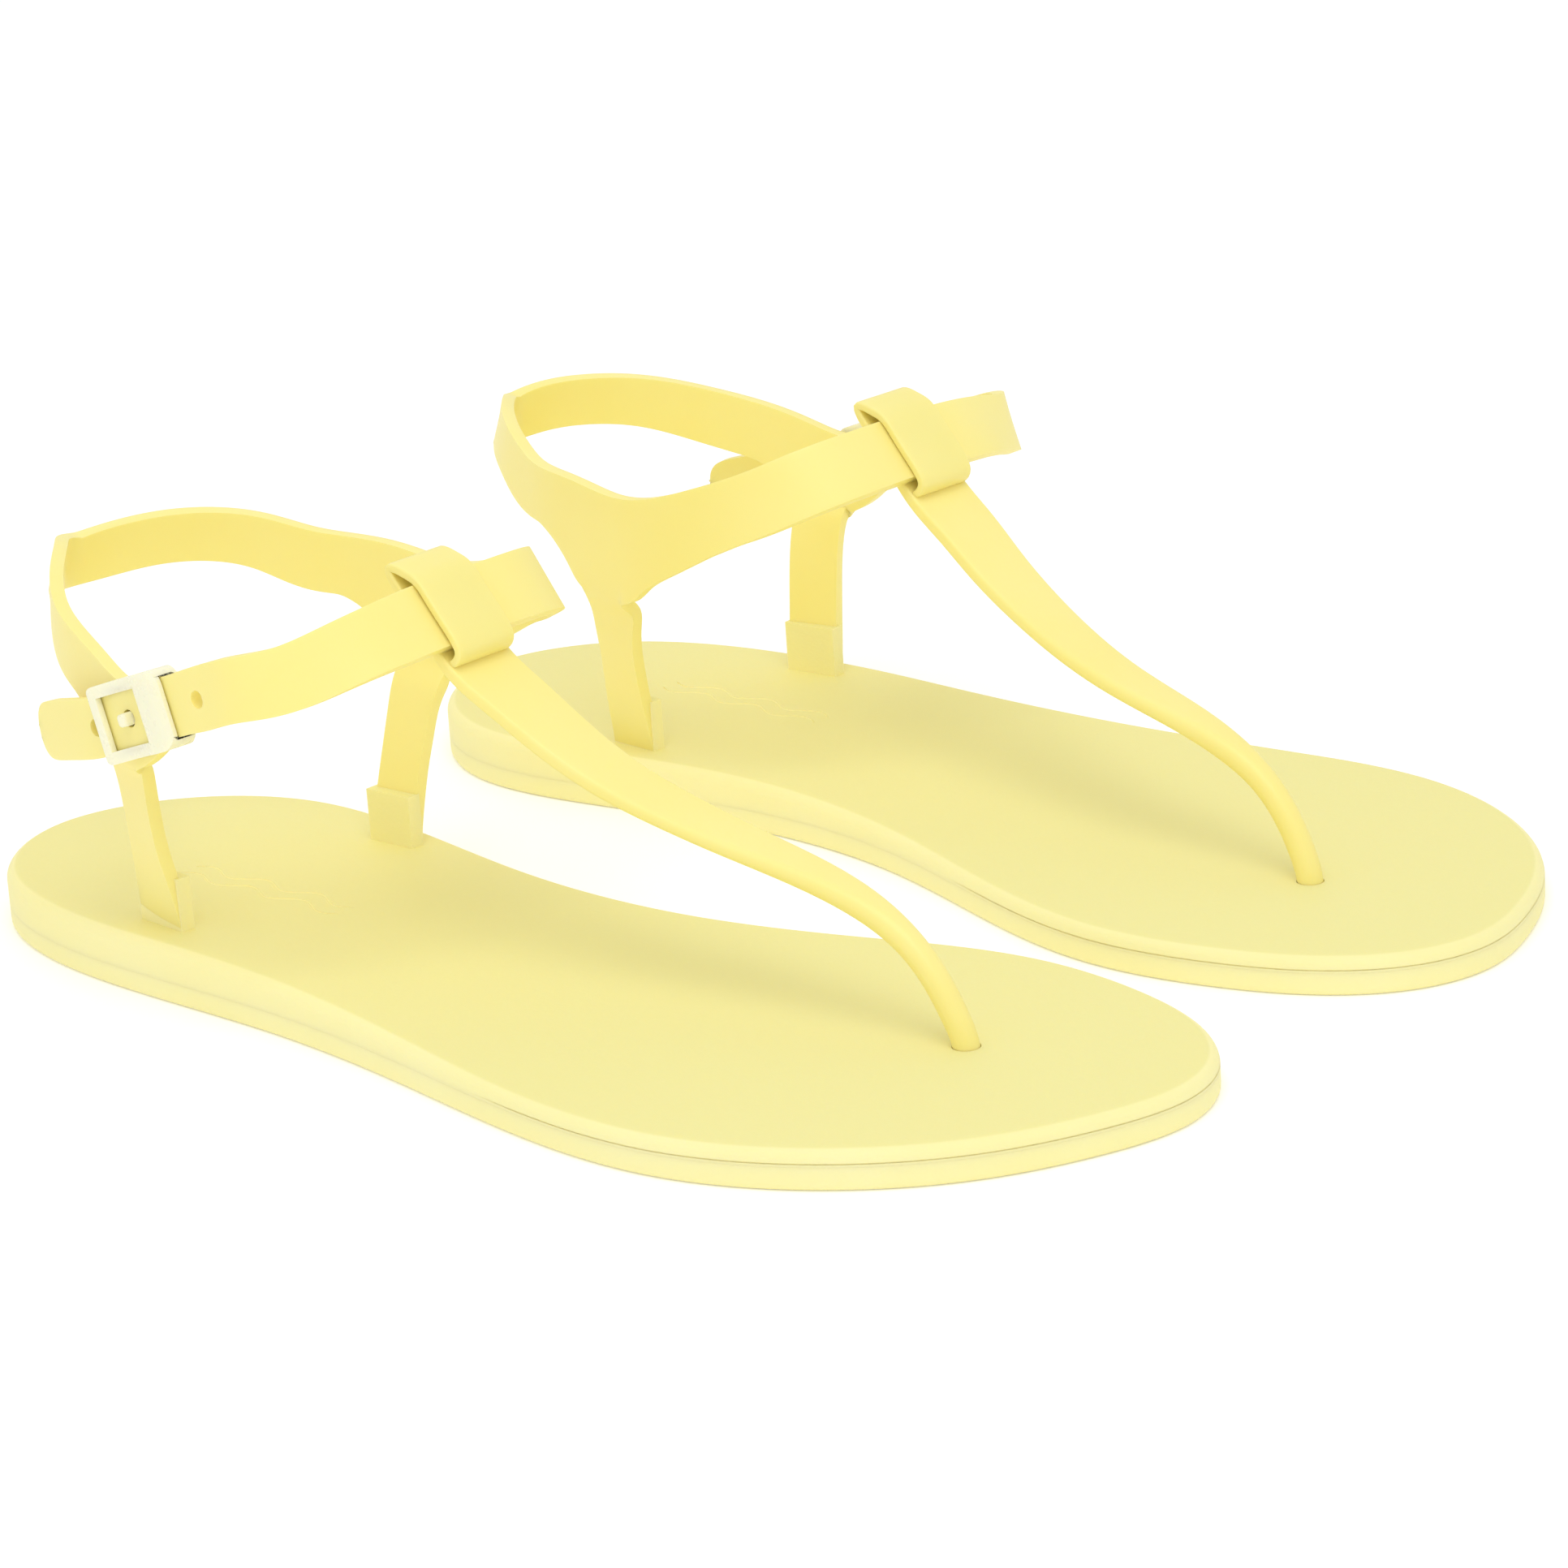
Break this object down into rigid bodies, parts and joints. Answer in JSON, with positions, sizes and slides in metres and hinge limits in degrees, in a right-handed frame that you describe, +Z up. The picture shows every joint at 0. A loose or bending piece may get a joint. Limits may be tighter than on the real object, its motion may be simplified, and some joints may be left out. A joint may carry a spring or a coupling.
{
  "type": "pair of t-strap sandals",
  "caption": "Pair of flat moulded T-strap thong sandals with a toe post, heel harness, ankle strap through an instep loop, and a small buckle that opens.",
  "frame": {"origin": "on the floor, midway between the two sandals and halfway along the right sole", "axes": "+X from heel to toe of the right sandal, +Y towards the left sandal, +Z up"},
  "size_m": [0.2502, 0.2078, 0.0763],
  "materials": {
    "right_outsole": "satin moulded PVC",
    "right_footbed": "matt grained PVC",
    "right_toe_strap": "satin moulded PVC",
    "right_instep_loop": "satin moulded PVC",
    "right_heel_harness": "satin moulded PVC",
    "right_strap_end": "satin moulded PVC",
    "right_buckle_frame": "glossy pale cream plastic",
    "right_buckle_stud": "glossy pale cream plastic",
    "left_outsole": "satin moulded PVC",
    "left_footbed": "matt grained PVC",
    "left_toe_strap": "satin moulded PVC",
    "left_instep_loop": "satin moulded PVC",
    "left_heel_harness": "satin moulded PVC",
    "left_strap_end": "satin moulded PVC",
    "left_buckle_frame": "glossy pale cream plastic",
    "left_buckle_stud": "glossy pale cream plastic"
  },
  "bodies": {
    "right_sandal": {"right_outsole": "right_outsole", "right_footbed": "right_footbed", "right_toe_strap": "right_toe_strap", "right_instep_loop": "right_instep_loop", "right_heel_harness": "right_heel_harness", "right_buckle_stud": "right_buckle_stud"},
    "right_free_strap": {"right_strap_end": "right_strap_end"},
    "right_keeper": {"right_buckle_frame": "right_buckle_frame"},
    "left_sandal": {"left_outsole": "left_outsole", "left_footbed": "left_footbed", "left_toe_strap": "left_toe_strap", "left_instep_loop": "left_instep_loop", "left_heel_harness": "left_heel_harness", "left_buckle_stud": "left_buckle_stud"},
    "left_free_strap": {"left_strap_end": "left_strap_end"},
    "left_keeper": {"left_buckle_frame": "left_buckle_frame"}
  },
  "joints": [
    {"name": "right_strap_open", "type": "hinge", "parent": "right_sandal", "child": "right_free_strap", "pos_m": [-0.03139, -0.09619, 0.06083], "axis": [-0.3297, 0.0231, 0.9438], "range_deg": [0, 70]},
    {"name": "right_keeper_slide", "type": "slide", "parent": "right_free_strap", "child": "right_keeper", "axis": [0.9415, -0.0658, 0.3305], "range_m": [-0.002, 0.0025]},
    {"name": "left_strap_open", "type": "hinge", "parent": "left_sandal", "child": "left_free_strap", "pos_m": [-0.02891, 0.09971, 0.06083], "axis": [0.3304, 0.0095, -0.9438], "range_deg": [0, 70]},
    {"name": "left_keeper_slide", "type": "slide", "parent": "left_free_strap", "child": "left_keeper", "axis": [0.9434, 0.0272, 0.3305], "range_m": [-0.002, 0.0025]},
    {"name": "left_sandal_lift", "type": "slide", "parent": "right_sandal", "child": "left_sandal", "axis": [0, 0, 1], "range_m": [0, 0.15]}
  ]
}
